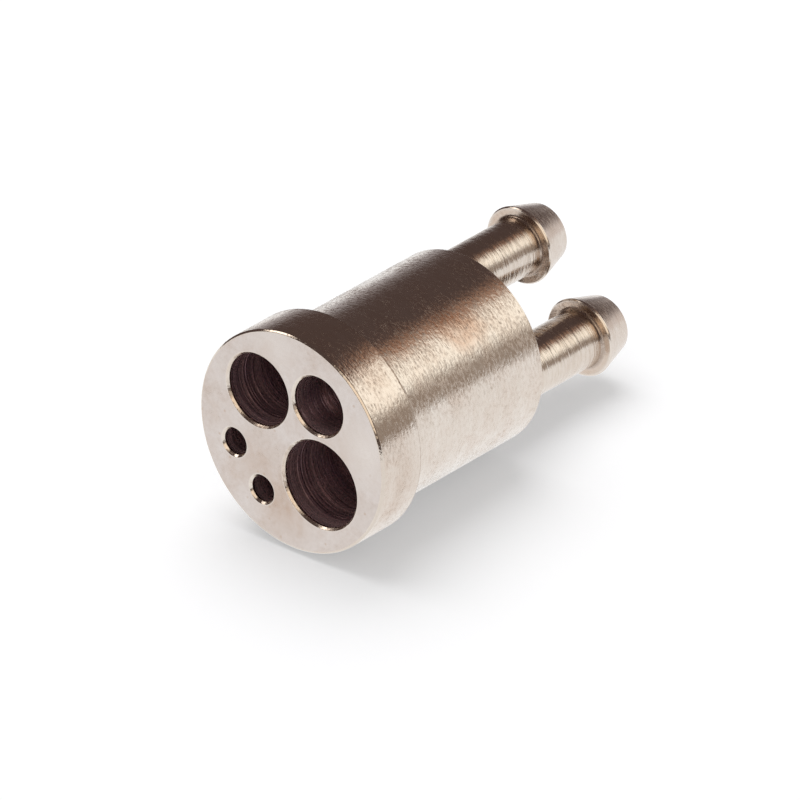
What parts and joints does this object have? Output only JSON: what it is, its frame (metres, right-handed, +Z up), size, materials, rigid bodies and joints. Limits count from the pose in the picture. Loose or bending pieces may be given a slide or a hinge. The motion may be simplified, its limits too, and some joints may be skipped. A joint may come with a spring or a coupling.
{
  "type": "multi-port hose connector",
  "caption": "Round plated hose connector: a flanged body with chamfered ports in its flat mating face and barbed spigots at the rear that take separate air, water and light lines.",
  "frame": {"origin": "centre of the flat mating face, on the body's axis", "axes": "+Y along the body's axis, from the mating face to the barbs; +Z up as the part lies on its side in the picture"},
  "size_m": [0.0112, 0.0209, 0.0112],
  "materials": {
    "body_nickel": "satin nickel plate on turned brass, with fine turning marks",
    "barb_nickel": "nickel plate on turned brass, with clear turning marks",
    "line_nickel": "nickel plate on turned brass"
  },
  "bodies": {
    "root": {"connector_body": "body_nickel", "upper_hose_barb": "barb_nickel", "lower_hose_barb": "barb_nickel", "side_line_barb": "line_nickel", "bottom_line_barb": "line_nickel"}
  },
  "joints": []
}
